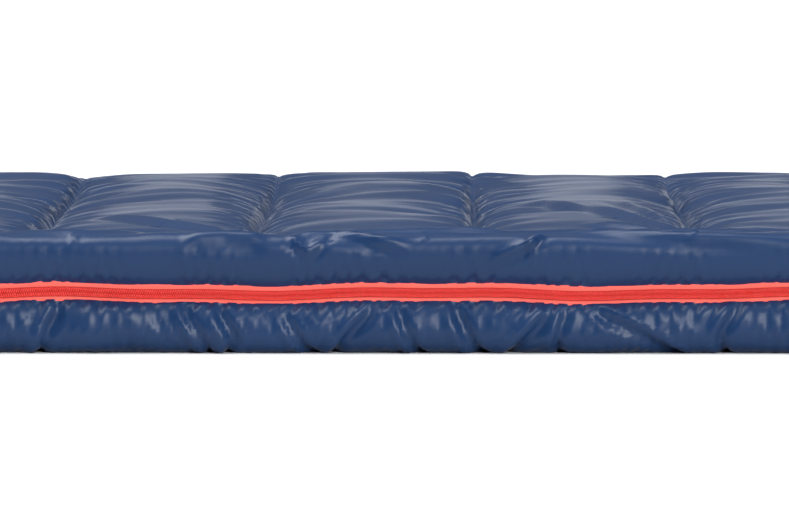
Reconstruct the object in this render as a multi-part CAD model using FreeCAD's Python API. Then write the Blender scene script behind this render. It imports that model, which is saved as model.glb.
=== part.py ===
import FreeCAD, Part
import os

# Rectangular sleeping bag, zipped shut and lying flat.
# +X runs to the head end, -Y is the zipped long side, +Z is up, and the floor is Z 0.
# Two quilted layers lie one on the other. The far long side is a fold, and it is the
# hinge that the upper layer opens about. Lengths are in millimetres.

# Driving dimensions
LENGTH = 1900.0        # foot to head
WIDTH = 750.0          # zipped side to fold
LOFT = 37.0            # one quilted layer
GAP = 6.0              # air between the two linings
FOLD_CLEAR = 0.2       # from each layer to the fold, so that the layers lie end to end when open
FABRIC = 1.0           # shell and lining cloth, drawn thicker than the real cloth
EDGE_R = 18.0          # how round the padded edges are
FOOT_CORNER_R = 60.0   # plan radius where the zip turns from the side to the foot
HEAD_CORNER_R = 24.0   # plan radius at the head end of the zip

# Zip, coil size 5
TAPE_INSET = 7.0       # the zip lies this far behind the front of the padded edges
TAPE_THICK = 0.6
TAPE_WIDE = 14.0       # one half, most of it sewn inside the layer
COIL_THICK = 2.3
COIL_WIDE = 2.85       # one half
MESH_GAP = 0.15        # from the zip's centre line to each half
PARTED = 1.35          # how far each half steps aside for the slider's diamond
PART_FROM = -2.5       # along the slider, where the halves begin to part
PART_TO = 2.5          # and where they are fully parted
CHAIN_PAST = 7.5       # the coil ends this far past the slider's middle
HEAD_SLIDER_X = 880.0  # slider's middle at rest, on the side
FOOT_SLIDER_Y = 288.0  # slider's middle at rest, on the foot end
TAPE_END_X = 905.0
TAPE_END_Y = 330.0

# Slider and pull
SLIDER_HALF = 7.0      # half of its length
NARROW = 4.6           # half of its width at the chain end
WIDE = 5.9             # half of its width at the mouth
BACK_NARROW = 4.2      # the plate inside the bag is narrower, to run between the linings
BACK_WIDE = 4.9
PLATE = 1.2
FLANGE = 1.1
COIL_CLEAR = 0.4
TAPE_CLEAR = 0.3
DIAMOND_HALF = 1.1
DIAMOND_TIP, DIAMOND_FULL = -0.5, 3.0      # along the slider, where the diamond starts and is full
WIDENS = 3.0                              # the slider widens between these distances about its middle
SLIDER_ROUND = 0.5                        # rounding of its plates
BAIL_HALF = 3.6        # half of the bail's length
BAIL_HIGH = 3.0
BAIL_BAND = 1.0
BAIL_WIDE = 2.0
BAIL_ROUND = 0.9
PIVOT_UP = 1.05        # pull's crossbar above the plate
PIVOT_R = 0.75
ARM_END = -4.8         # where the pull's two arms join
ARM_IN = 1.4           # from the middle to the inside of the pull's arms
ARM_WIDE = 1.2
GRIP_WAIST = (0.55, 0.85)   # a pull is narrowest this share along, at this share of its half width
GRIP_TIP = (2.0, 0.6)       # it tapers over this length to this share
PULL_THICK = 1.2
OUTER_PULL_LONG, OUTER_PULL_HALF = 30.0, 3.8
INNER_PULL_LONG, INNER_PULL_HALF = 24.0, 2.2

# Crimped stops at the head end of the coils
STOP_LONG, STOP_PROUD, STOP_WIDER = 3.0, 0.3, 0.2
STOP_ROUND = 0.5

# Pin and retainer at the foot end of the zip
PIN_LONG, PIN_WIDE, PIN_THICK = 16.5, 2.0, 1.5
PIN_ROUND, RETAINER_ROUND = 0.5, 0.4
RETAINER_FROM, RETAINER_LONG = 6.5, 12.0   # from the start of the pin
RETAINER_LIP = 1.0

# Pieces on the seams
TUBE_FROM, TUBE_TO = 45.0, 90.0      # draft tube, measured in from the zipped edge
TUBE_HIGH, TUBE_ROUND = 5.5, 2.0
SIDE_TUBE_FROM, SIDE_TUBE_TO = 100.0, 50.0   # from the foot end and from the head end
FOOT_TUBE_FROM, FOOT_TUBE_TO = 135.0, 25.0   # from the zipped side and from the fold
FLAP_THICK = 0.4
LOOP_WIDE, LOOP_LONG = 20.0, 34.0    # hanging loops of flat webbing
LOOP_THICK, LOOP_GAP = 1.2, 7.0
LOOP_TAIL = 12.0
LOOP_Y = (-190.0, 190.0)
TAB_X, TAB_WIDE = 906.0, 25.0        # closing tab over the end of the zip
TAB_THICK = 0.8
TAB_HEM_R = 0.9
TAB_TOP_Z, TAB_LOW_Z = 61.0, 7.0
ANCHOR_TOP_Z = 71.0                  # strip that sews the tab to the upper layer
PATCH_LOW_Z, PATCH_TOP_Z = 9.0, 27.0
PATCH_WIDE, PATCH_THICK = 21.0, 0.8
TAB_CLEAR = 0.3
LABEL_X, LABEL_Y = 720.0, -235.0
LABEL_LONG, LABEL_WIDE = 50.0, 30.0

# Worked out from the above
HALF_X = LENGTH / 2
SIDE_Y = -WIDTH / 2
HEIGHT = 2 * LOFT + GAP
MID_Z = HEIGHT / 2
FOLD_Y = WIDTH / 2 - MID_Z            # axis of the fold, whose outside is a half circle
LAYER_END_Y = FOLD_Y - FOLD_CLEAR
TAPE_FRONT = TAPE_INSET - TAPE_THICK / 2
TAPE_BACK = TAPE_INSET + TAPE_THICK / 2
COIL_FRONT = TAPE_FRONT - COIL_THICK
SEAM_RISE = EDGE_R - (EDGE_R**2 - (EDGE_R - TAPE_INSET) ** 2) ** 0.5  # where the tape enters a layer
LOWER_SEAM_Z = LOFT - SEAM_RISE
UPPER_SEAM_Z = HEIGHT - LOWER_SEAM_Z
FAR = 3000.0                          # larger than the bag, for cutting
FRONT_IN = COIL_FRONT - COIL_CLEAR    # inside of the slider's front plate, as an inset
FRONT_OUT = FRONT_IN - PLATE
BACK_IN = TAPE_BACK + TAPE_CLEAR
BACK_OUT = BACK_IN + PLATE
PIN_START = FOOT_SLIDER_Y + CHAIN_PAST
PIN_LOW = MID_Z + MESH_GAP + PARTED
LOOSE = 0.3                           # round the pin, and from the pull's end to the slider
TAB_IN = 2 * PATCH_THICK + TAB_CLEAR  # from the layers to the back of the tab

V = FreeCAD.Vector


def box(x0, x1, y0, y1, z0, z1):
    return Part.makeBox(x1 - x0, y1 - y0, z1 - z0, V(x0, y0, z0))


def band(z0, z1):
    """Everything between two heights."""
    return box(-FAR, FAR, -FAR, FAR, z0, z1)


def polygon(points):
    return Part.Face(Part.makePolygon(points + [points[0]]))


def plan_face(inset, z):
    """The bag's outline from above, up to the fold, drawn in from its zipped, head and foot edges."""
    foot, head, side = -HALF_X + inset, HALF_X - inset, SIDE_Y + inset
    foot_r, head_r = FOOT_CORNER_R - inset, HEAD_CORNER_R - inset
    half = 0.5**0.5
    foot_arc = Part.Arc(
        V(foot, side + foot_r, z),
        V(foot + foot_r * (1 - half), side + foot_r * (1 - half), z),
        V(foot + foot_r, side, z),
    )
    head_arc = Part.Arc(
        V(head - head_r, side, z),
        V(head - head_r * (1 - half), side + head_r * (1 - half), z),
        V(head, side + head_r, z),
    )
    edges = [
        Part.LineSegment(V(foot, LAYER_END_Y, z), V(foot, side + foot_r, z)),
        foot_arc,
        Part.LineSegment(V(foot + foot_r, side, z), V(head - head_r, side, z)),
        head_arc,
        Part.LineSegment(V(head, side + head_r, z), V(head, LAYER_END_Y, z)),
        Part.LineSegment(V(head, LAYER_END_Y, z), V(foot, LAYER_END_Y, z)),
    ]
    return Part.Face(Part.Wire([edge.toShape() for edge in edges]))


def padded_slab(z0, z1, inset, edge_r):
    """A slab with round edges all round, apart from its flat face at the fold."""
    slab = plan_face(inset, z0).extrude(V(0, 0, z1 - z0))
    rims = []
    for edge in slab.Edges:
        ends = [vertex.Point for vertex in edge.Vertexes]
        level = abs(ends[0].z - ends[1].z) < 1e-6
        at_fold = all(abs(end.y - LAYER_END_Y) < 1e-6 for end in ends)
        if level and not at_fold:
            rims.append(edge)
    return slab.makeFillet(edge_r, rims)


def quilted_layer(z0, seam_z, shell_is_below):
    """Shell, filling and lining of one layer. Shell and lining meet where the zip is sewn in."""
    outside = padded_slab(z0, z0 + LOFT, 0.0, EDGE_R)
    filling = padded_slab(z0 + FABRIC, z0 + LOFT - FABRIC, FABRIC, EDGE_R - FABRIC)
    skin = outside.cut(filling)
    below = skin.common(band(-FAR, seam_z))
    above = skin.common(band(seam_z, FAR))
    shell, lining = (below, above) if shell_is_below else (above, below)
    return shell, filling, lining


def fold_ring(inner_r, outer_r):
    """Half a ring round the fold, as long as the bag."""
    axis_start = V(-HALF_X, FOLD_Y, MID_Z)
    outer = Part.makeCylinder(outer_r, LENGTH, axis_start, V(1, 0, 0))
    inner = Part.makeCylinder(inner_r, LENGTH, axis_start, V(1, 0, 0))
    far_half = box(-FAR, FAR, FOLD_Y, FAR, -FAR, FAR)
    return outer.cut(inner).common(far_half)


def along_zip(inset0, inset1, z0, z1, end_x, end_y):
    """A band that follows the zipped side, the round corner and the foot end."""
    outer = plan_face(inset0, z0).extrude(V(0, 0, z1 - z0))
    inner = plan_face(inset1, z0).extrude(V(0, 0, z1 - z0))
    return outer.cut(inner).common(box(-FAR, end_x, -FAR, end_y, -FAR, FAR))


def on_side(outline, inset0, inset1):
    """A plate on the zipped side: outline in X and Z, thick from one inset to the other."""
    face = polygon([V(x, SIDE_Y + inset0, z) for x, z in outline])
    return face.extrude(V(0, inset1 - inset0, 0))


def on_foot(outline, inset0, inset1):
    """The same on the foot end: outline in Y and Z."""
    face = polygon([V(-HALF_X + inset0, y, z) for y, z in outline])
    return face.extrude(V(inset1 - inset0, 0, 0))


def parted_end(slider_at, end, near, far, up):
    """Outline of the last stretch of a zip half, which steps aside for the slider's diamond."""
    start = slider_at + PART_FROM
    parted = slider_at + PART_TO
    step = PARTED if near < COIL_WIDE else 0.0
    far_step = PARTED if far < TAPE_WIDE else 0.0
    points = [
        (start, near), (parted, near + step), (end, near + step),
        (end, far + far_step), (parted, far + far_step), (start, far),
    ]
    return [(s, MID_Z + up * z) for s, z in points]


def zip_half(near, far, inset0, inset1, up, end_x, end_y):
    """One half of the zip's tape or coil, near and far measured from the zip's centre line."""
    low, high = sorted((MID_Z + up * near, MID_Z + up * far))
    head_start, foot_start = HEAD_SLIDER_X + PART_FROM, FOOT_SLIDER_Y + PART_FROM
    body = along_zip(inset0, inset1, low, high, head_start, foot_start)
    head = on_side(parted_end(HEAD_SLIDER_X, end_x, near, far, up), inset0, inset1)
    foot = on_foot(parted_end(FOOT_SLIDER_Y, end_y, near, far, up), inset0, inset1)
    return body.fuse([head, foot]).removeSplitter()


def zip_tape(up):
    return zip_half(MESH_GAP, TAPE_WIDE, TAPE_FRONT, TAPE_BACK, up, TAPE_END_X, TAPE_END_Y)


def zip_coil(up):
    far = MESH_GAP + COIL_WIDE
    head_end, foot_end = HEAD_SLIDER_X + CHAIN_PAST, FOOT_SLIDER_Y + CHAIN_PAST
    return zip_half(MESH_GAP, far, COIL_FRONT, TAPE_FRONT, up, head_end, foot_end)


def top_stop(up):
    """Crimped stop at the head end of one coil."""
    start = HEAD_SLIDER_X + CHAIN_PAST
    near, far = MESH_GAP + PARTED, MESH_GAP + PARTED + COIL_WIDE + STOP_WIDER
    low, high = sorted((MID_Z + up * near, MID_Z + up * far))
    front_y = SIDE_Y + COIL_FRONT - STOP_PROUD
    stop = box(start, start + STOP_LONG, front_y, SIDE_Y + TAPE_FRONT, low, high)
    front = [e for e in stop.Edges if e.BoundBox.YMax < SIDE_Y + COIL_FRONT]
    return stop.makeFillet(STOP_ROUND, front)


def insertion_pin():
    """Pin on the upper tape, which the retainer on the lower tape holds."""
    front = -HALF_X + TAPE_FRONT - PIN_THICK
    pin = box(front, front + PIN_THICK, PIN_START, PIN_START + PIN_LONG, PIN_LOW, PIN_LOW + PIN_WIDE)
    front_edges = [e for e in pin.Edges if e.BoundBox.XMax < front + 0.01]
    return pin.makeFillet(PIN_ROUND, front_edges)


def retainer_box():
    """Block with a lip in front of the pin, so that the pin lifts out upwards."""
    back = -HALF_X + TAPE_FRONT
    lip_back = back - PIN_THICK - LOOSE
    front = lip_back - RETAINER_LIP
    floor = PIN_LOW - LOOSE
    y0 = PIN_START + RETAINER_FROM
    y1 = y0 + RETAINER_LONG
    block = box(front, back, y0, y1, MID_Z - NARROW, floor)
    lip = box(front, lip_back, y0, y1, floor, PIN_LOW + PIN_WIDE + LOOSE)
    retainer = block.fuse(lip).removeSplitter()
    corners = [
        e for e in retainer.Edges
        if e.BoundBox.XMax < front + 0.01 and e.BoundBox.ZLength < 0.01
    ]
    return retainer.makeFillet(RETAINER_ROUND, corners)


def slider_outline(half_end, half_mouth):
    """Width of the slider along its length: narrow at the chain, wide at the mouth."""
    upper = [(-SLIDER_HALF, half_end), (-WIDENS, half_end), (WIDENS, half_mouth), (SLIDER_HALF, half_mouth)]
    return upper + [(u, -z) for u, z in reversed(upper)]


def slider_plate(outline, inset0, inset1):
    """A plate in the slider's own frame: its mouth to +X, its outside to -Y, Y counted as inset."""
    face = polygon([V(u, inset0, z) for u, z in outline])
    return face.extrude(V(0, inset1 - inset0, 0))


def slider_body():
    """Front plate with flanges that hold the coils, back plate, and the diamond that joins them."""
    full, hollow = slider_outline(NARROW, WIDE), slider_outline(NARROW - FLANGE, WIDE - FLANGE)
    front = slider_plate(full, FRONT_OUT, FRONT_IN)
    front_edges = [e for e in front.Edges if e.BoundBox.YMax < FRONT_OUT + 0.01]
    front = front.makeFillet(SLIDER_ROUND, front_edges)
    flanges = slider_plate(full, FRONT_IN, TAPE_FRONT - TAPE_CLEAR)
    flanges = flanges.cut(slider_plate(hollow, FRONT_IN - 1, TAPE_FRONT))
    back = slider_plate(slider_outline(BACK_NARROW, BACK_WIDE), BACK_IN, BACK_OUT)
    back_edges = [e for e in back.Edges if e.BoundBox.YMin > BACK_OUT - 0.01]
    back = back.makeFillet(SLIDER_ROUND, back_edges)
    half = DIAMOND_HALF
    diamond_outline = [
        (DIAMOND_TIP, 0), (DIAMOND_FULL, half), (SLIDER_HALF, half),
        (SLIDER_HALF, -half), (DIAMOND_FULL, -half),
    ]
    diamond = slider_plate(diamond_outline, FRONT_IN, BACK_IN)
    return front.fuse([flanges, back, diamond]).removeSplitter()


def bail(plate, outward):
    """Arch along the slider that the pull's crossbar is held under. outward is -1 in front, +1 inside."""
    half, band_w = BAIL_HALF, BAIL_BAND
    arch = [
        (-half, 0), (-half, BAIL_HIGH), (half, BAIL_HIGH), (half, 0),
        (half - band_w, 0), (half - band_w, BAIL_HIGH - band_w),
        (-half + band_w, BAIL_HIGH - band_w), (-half + band_w, 0),
    ]
    points = [V(u, plate + outward * n, -BAIL_WIDE / 2) for u, n in arch]
    solid = polygon(points).extrude(V(0, 0, BAIL_WIDE))
    top = plate + outward * BAIL_HIGH
    outer_ends = [
        e for e in solid.Edges
        if abs(e.BoundBox.YMin - top) < 0.01 and e.BoundBox.YLength < 0.01
        and e.BoundBox.ZLength > BAIL_WIDE - 0.01 and abs(abs(e.BoundBox.XMin) - half) < 0.01
    ]
    return solid.makeFillet(BAIL_ROUND, outer_ends)


def pull(plate, outward, length, half_wide):
    """Pull tab lying back over the closed chain: a crossbar, two arms and a tapered grip."""
    y = plate + outward * PIVOT_UP
    bar_half = min(half_wide, ARM_IN + ARM_WIDE)
    outline = [
        (PIVOT_R, bar_half), (ARM_END, bar_half), (-length * GRIP_WAIST[0], half_wide * GRIP_WAIST[1]),
        (-length + GRIP_TIP[0], half_wide), (-length, half_wide * GRIP_TIP[1]),
    ]
    outline = outline + [(u, -z) for u, z in reversed(outline)]
    y0 = y - PULL_THICK / 2
    tab = polygon([V(u, y0, z) for u, z in outline]).extrude(V(0, PULL_THICK, 0))
    slot = box(ARM_END, PIVOT_R + 1, y0 - 1, y0 + PULL_THICK + 1, -ARM_IN, ARM_IN)
    bar = Part.makeCylinder(PIVOT_R, 2 * bar_half, V(0, y, -bar_half), V(0, 0, 1))
    return tab.cut(slot).fuse(bar).removeSplitter()


def to_side(shape):
    """From the slider's own frame to its place on the zipped side."""
    placed = shape.copy()
    placed.translate(V(HEAD_SLIDER_X, SIDE_Y, MID_Z))
    return placed


def to_foot(shape):
    """The same on the foot end, with the mouth towards the fold."""
    placed = shape.copy()
    placed.rotate(V(0, 0, 0), V(0, 1, 0), 180)
    placed.rotate(V(0, 0, 0), V(0, 0, 1), -90)
    placed.translate(V(-HALF_X, FOOT_SLIDER_Y, MID_Z))
    return placed


def slider_pieces():
    """The pieces of one slider in its own frame. The inner pull is slim, to turn between the layers."""
    return {
        "slider_body": slider_body(),
        "slider_outer_bail": bail(FRONT_OUT, -1),
        "slider_inner_bail": bail(BACK_OUT, 1),
        "pull_outer": pull(FRONT_OUT, -1, OUTER_PULL_LONG, OUTER_PULL_HALF),
        "pull_inner": pull(BACK_OUT, 1, INNER_PULL_LONG, INNER_PULL_HALF),
    }


def draft_tube(x0, x1, y0, y1, flap):
    """Padded tube on the lower lining behind the zip, with the flap that sews it to the zip seam."""
    floor = LOFT
    tube = box(x0, x1, y0, y1, floor, floor + TUBE_HIGH)
    rims = [e for e in tube.Edges if e.BoundBox.ZMin > floor + TUBE_HIGH - 0.01]
    tube = tube.makeFillet(TUBE_ROUND, rims)
    return tube.fuse(flap).removeSplitter()


def side_draft_tube():
    x0, x1 = -HALF_X + SIDE_TUBE_FROM, HALF_X - SIDE_TUBE_TO
    y0, y1 = SIDE_Y + TUBE_FROM, SIDE_Y + TUBE_TO
    flap = box(x0, x1, SIDE_Y + EDGE_R, y0, LOFT, LOFT + FLAP_THICK)
    return draft_tube(x0, x1, y0, y1, flap)


def foot_draft_tube():
    y0, y1 = SIDE_Y + FOOT_TUBE_FROM, FOLD_Y - FOOT_TUBE_TO
    x0, x1 = -HALF_X + TUBE_FROM, -HALF_X + TUBE_TO
    flap = box(-HALF_X + EDGE_R, x0, y0, y1, LOFT, LOFT + FLAP_THICK)
    return draft_tube(x0, x1, y0, y1, flap)


def hang_loop(y):
    """Flat webbing doubled back on itself, its two tails sewn into the foot edge."""
    z, reach = LOFT / 2, -HALF_X - LOOP_LONG
    outer_r, inner_r = LOOP_GAP / 2 + LOOP_THICK, LOOP_GAP / 2
    bend_x = reach + outer_r
    y0 = y - LOOP_WIDE / 2

    def filled(r):
        straight = box(bend_x, -HALF_X + LOOP_TAIL, y0, y0 + LOOP_WIDE, z - r, z + r)
        bend = Part.makeCylinder(r, LOOP_WIDE, V(bend_x, y0, z), V(0, 1, 0))
        return straight.fuse(bend)

    return filled(outer_r).cut(filled(inner_r))


def over_layer(z0, grown0, grown1, wide, low_z, top_z):
    """A strip that lies round the zipped edge of a layer, from one distance off it to another."""
    outer = padded_slab(z0 - grown1, z0 + LOFT + grown1, -grown1, EDGE_R + grown1)
    if grown0:
        inner = padded_slab(z0 - grown0, z0 + LOFT + grown0, -grown0, EDGE_R + grown0)
    else:
        inner = padded_slab(z0, z0 + LOFT, 0.0, EDGE_R)
    window = box(TAB_X - wide / 2, TAB_X + wide / 2, SIDE_Y - EDGE_R, SIDE_Y + EDGE_R, low_z, top_z)
    return outer.cut(inner).common(window)


def closing_tab():
    """Flap in front of the end of the zip: straight to the lower layer, then round its edge."""
    front = TAB_IN + TAB_THICK
    curve = over_layer(0.0, TAB_IN, front, TAB_WIDE, TAB_LOW_Z, EDGE_R)
    x0, x1 = TAB_X - TAB_WIDE / 2, TAB_X + TAB_WIDE / 2
    plate = box(x0, x1, SIDE_Y - front, SIDE_Y - TAB_IN, EDGE_R, TAB_TOP_Z)
    hem_y = SIDE_Y - TAB_IN - TAB_THICK / 2
    hem = Part.makeCylinder(TAB_HEM_R, TAB_WIDE, V(x0, hem_y, TAB_TOP_Z), V(1, 0, 0))
    return plate.fuse([curve, hem]).removeSplitter()


def tab_anchor():
    """Folded end of the tab, sewn to the upper layer beside the flap's hem."""
    thick = TAB_IN + TAB_THICK / 2 - TAB_HEM_R - TAB_CLEAR
    return over_layer(LOFT + GAP, 0.0, thick, TAB_WIDE, TAB_TOP_Z - 1.0, ANCHOR_TOP_Z)


def hook_patch():
    return over_layer(0.0, TAB_IN - PATCH_THICK, TAB_IN, PATCH_WIDE, PATCH_LOW_Z, PATCH_TOP_Z)


def loop_patch():
    return over_layer(0.0, 0.0, PATCH_THICK, PATCH_WIDE, PATCH_LOW_Z, PATCH_TOP_Z)


def care_label():
    """Satin tab sewn flat on the lower lining."""
    x0, y0 = LABEL_X - LABEL_LONG / 2, LABEL_Y - LABEL_WIDE / 2
    return box(x0, x0 + LABEL_LONG, y0, y0 + LABEL_WIDE, LOFT, LOFT + FLAP_THICK)


def make_parts():
    lower_shell, lower_filling, lower_lining = quilted_layer(0.0, LOWER_SEAM_Z, True)
    upper_shell, upper_filling, upper_lining = quilted_layer(LOFT + GAP, UPPER_SEAM_Z, False)
    tapes = {"lower": zip_tape(-1), "upper": zip_tape(1)}
    loops = [hang_loop(y) for y in LOOP_Y]
    inner = GAP / 2
    parts = {
        "lower_shell": lower_shell.cut([tapes["lower"]] + loops),
        "lower_filling": lower_filling.cut([tapes["lower"]] + loops),
        "lower_lining": lower_lining.cut(tapes["lower"]),
        "upper_shell": upper_shell.cut(tapes["upper"]),
        "upper_filling": upper_filling.cut(tapes["upper"]),
        "upper_lining": upper_lining.cut(tapes["upper"]),
        "fold_shell": fold_ring(MID_Z - FABRIC, MID_Z),
        "fold_filling": fold_ring(inner + FABRIC, MID_Z - FABRIC),
        "fold_lining": fold_ring(inner, inner + FABRIC),
        "zip_tape_lower": tapes["lower"],
        "zip_tape_upper": tapes["upper"],
        "zip_coil_lower": zip_coil(-1),
        "zip_coil_upper": zip_coil(1),
        "zip_top_stop_lower": top_stop(-1),
        "zip_top_stop_upper": top_stop(1),
        "zip_insertion_pin": insertion_pin(),
        "zip_retainer_box": retainer_box(),
        "draft_tube_side": side_draft_tube(),
        "draft_tube_foot": foot_draft_tube(),
        "hang_loops": Part.makeCompound(loops),
        "care_label": care_label(),
        "closing_tab": closing_tab(),
        "closing_tab_anchor": tab_anchor(),
        "closing_tab_hook_patch": hook_patch(),
        "closing_tab_loop_patch": loop_patch(),
    }
    for where, place in (("head", to_side), ("foot", to_foot)):
        for name, shape in slider_pieces().items():
            parts[f"{where}_{name}"] = place(shape)
    return parts


def main():
    os.makedirs("parts", exist_ok=True)
    for name, shape in make_parts().items():
        shape.exportStep(f"parts/{name}.step")
        solids = shape.Solids
        valid = all(solid.isValid() for solid in solids)
        print(f"{name}: {len(solids)} solid(s), {shape.Volume / 1000:.3f} cm3, valid {valid}")


main()
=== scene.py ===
import math

import bpy
import numpy as np
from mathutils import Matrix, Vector


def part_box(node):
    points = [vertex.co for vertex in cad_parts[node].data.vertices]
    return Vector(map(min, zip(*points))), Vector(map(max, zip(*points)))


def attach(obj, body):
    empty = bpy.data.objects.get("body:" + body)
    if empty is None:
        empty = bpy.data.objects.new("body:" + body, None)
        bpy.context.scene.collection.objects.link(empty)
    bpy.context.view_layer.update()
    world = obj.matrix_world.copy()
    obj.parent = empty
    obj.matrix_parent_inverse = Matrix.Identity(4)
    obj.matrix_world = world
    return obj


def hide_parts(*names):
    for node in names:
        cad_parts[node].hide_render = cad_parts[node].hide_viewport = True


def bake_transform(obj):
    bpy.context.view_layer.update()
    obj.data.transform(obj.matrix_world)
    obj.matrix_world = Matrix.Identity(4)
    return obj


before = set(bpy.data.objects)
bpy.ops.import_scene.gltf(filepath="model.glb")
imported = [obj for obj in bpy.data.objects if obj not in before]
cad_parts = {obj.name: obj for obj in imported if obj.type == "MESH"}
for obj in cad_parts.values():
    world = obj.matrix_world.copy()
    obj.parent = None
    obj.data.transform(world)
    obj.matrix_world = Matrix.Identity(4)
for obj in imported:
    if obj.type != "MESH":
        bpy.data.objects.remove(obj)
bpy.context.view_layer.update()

MM = 0.001


def box_mm(node):
    """The two corners of a piece's box in the design, in millimetres."""
    return [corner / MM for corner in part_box(node)]



# ---------------------------------------------------------------- sizes, in millimetres
# The quilt is one long rectangle folded in half: lower layer, fold, upper layer. It is drawn
# open, as x along the bag, s across the open quilt and n through its thickness, and folded after.

lower_low, lower_high = box_mm("lower_shell")
_, upper_high = box_mm("upper_shell")
lining_low, lining_high = box_mm("lower_lining")
fold_low, _ = box_mm("fold_shell")

HALF_X = lower_high.x
SIDE_Y = lower_low.y
HEIGHT = upper_high.z
LOFT = lining_high.z
MID_Z = HEIGHT / 2
FOLD_Y = fold_low.y
TAPE_INSET = lining_low.y - SIDE_Y        # where the zip is sewn in, behind the padded edge
SEAM_Z = lower_high.z                     # height where shell and lining meet
EDGE_R = 18.0                             # padded edges
FOOT_R, HEAD_R = 60.0, 24.0               # plan corners at the zip

CHANNELS = 13
PITCH = 2 * HALF_X / CHANNELS             # between sewn seams
SEAMS = [-HALF_X + PITCH * k for k in range(1, CHANNELS)]

HALF_LOFT = LOFT / 2
FOLD_OUT = MID_Z                          # radius of the outer cloth in the fold
FOLD_MID = FOLD_OUT - HALF_LOFT
HALF_FOLD = FOLD_OUT * math.pi / 2        # along the outer cloth, from the fold's middle to a layer
FLAT = FOLD_Y - (SIDE_Y + EDGE_R)         # level part of a layer, from the fold to the padded edge
END_S = HALF_FOLD + FLAT
END_X = HALF_X - EDGE_R
SEW_ANGLE = math.pi / 2 + math.asin((SEAM_Z - (LOFT - EDGE_R)) / EDGE_R)
BORDER = 52.0                             # from the edge to where the sewn seams start

# The zip: along the zipped side from the head, round the foot corner, then along the foot end.
COIL_THICK, COIL_WIDE = 2.3, 2.85
TAPE_THICK, TAPE_WIDE = 0.6, 14.0
MESH_GAP = 0.15                           # from the zip's centre line to each half
PARTED = 1.35                             # how far each half steps aside in front of a slider
CALM_HEAD_X, CALM_FOOT_X = 820.0, -760.0  # past these the zip lies straight, for the sliders
CALM_EASE = 90.0
PART_START, PART_END = -2.5, 2.5          # where the halves begin to part, and are parted, along a slider
COIL_PAST = 7.5                           # how far the coil goes past the slider's middle
COIL_PITCH = 1.5
_, coil_high = box_mm("zip_coil_lower")
_, tape_high = box_mm("zip_tape_lower")
HEAD_SLIDER_X = coil_high.x - COIL_PAST
FOOT_SLIDER_Y = coil_high.y - COIL_PAST
TAPE_END_X, TAPE_END_Y = tape_high.x, tape_high.y
SIDE_RUN = TAPE_END_X - (FOOT_R - HALF_X)  # along the zip, from its head end to the foot corner
CORNER_RUN = (FOOT_R - TAPE_INSET) * math.pi / 2
FOOT_RUN = TAPE_END_Y - (SIDE_Y + FOOT_R)


# ---------------------------------------------------------------- small helpers

def linear(colour):
    """An sRGB hex colour as linear RGBA."""
    parts = [int(colour[i:i + 2], 16) / 255 for i in (1, 3, 5)]
    return [c / 12.92 if c <= 0.04045 else ((c + 0.055) / 1.055) ** 2.4 for c in parts] + [1.0]


def smooth(t):
    t = np.clip(t, 0, 1)
    return t * t * (3 - 2 * t)


def unit(vectors):
    return vectors / np.linalg.norm(vectors, axis=-1, keepdims=True)


def reach_along(points):
    """Distance along a line of points, at each of them."""
    return np.concatenate([[0], np.cumsum(np.linalg.norm(np.diff(points, axis=0), axis=1))])


def new_mesh(name, points, *groups):
    """A mesh object from points in millimetres and groups of faces, each with its own number of sides."""
    mesh = bpy.data.meshes.new(name)
    groups = [np.asarray(group, np.int32) for group in groups]
    corners = np.concatenate([group.ravel() for group in groups])
    sides = np.concatenate([np.full(len(group), group.shape[1]) for group in groups])
    mesh.vertices.add(len(points))
    mesh.vertices.foreach_set("co", (np.asarray(points, np.float64) * MM).ravel())
    mesh.loops.add(len(corners))
    mesh.loops.foreach_set("vertex_index", corners)
    mesh.polygons.add(len(sides))
    mesh.polygons.foreach_set("loop_start", (np.cumsum(sides) - sides).astype(np.int32))
    mesh.polygons.foreach_set("use_smooth", np.ones(len(sides), bool))
    mesh.update(calc_edges=True)
    obj = bpy.data.objects.new(name, mesh)
    bpy.context.scene.collection.objects.link(obj)
    return obj


def add_uv(obj, places):
    """Gives each corner its place on the cloth, in millimetres, as a map in metres."""
    layer = obj.data.uv_layers.new(name="cloth")
    layer.data.foreach_set("uv", (np.asarray(places, np.float64) * MM).ravel())


def dress(piece, material, body):
    piece.data.materials.append(material)
    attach(piece, body)


def tube_faces(count, sides):
    """Numbers of the points in each ring of a tube, and the faces between the rings."""
    index = np.arange(count * sides).reshape(count, sides)
    after = np.roll(index, -1, axis=1)
    return index, np.stack([index[:-1], index[1:], after[1:], after[:-1]], -1).reshape(-1, 4)


def sweep(name, rings, along, across):
    """A tube from rings of points, with its ends closed and its cloth places mapped."""
    count, sides = rings.shape[:2]
    index, walls = tube_faces(count, sides)
    width = np.append(across, across[-1] + (across[-1] - across[-2]))
    place = np.stack(np.broadcast_arrays(along[:, None], width[None]), -1)
    corners = np.stack([place[:-1, :-1], place[1:, :-1], place[1:, 1:], place[:-1, 1:]], 2).reshape(-1, 4, 2)
    points = rings.reshape(-1, 3)
    around = points[walls] - points.mean(0)
    inside_out = np.einsum("ij,ij->i", around[:, 0], np.cross(around[:, 1], around[:, 2])).sum() < 0
    if inside_out:
        walls, corners, index = walls[:, ::-1], corners[:, ::-1], index[:, ::-1]
    obj = new_mesh(name, points, walls, index[:1, ::-1], index[-1:])
    caps = np.zeros((2 * sides, 2))
    add_uv(obj, np.concatenate([corners.reshape(-1, 2), caps]))
    return obj


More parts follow.
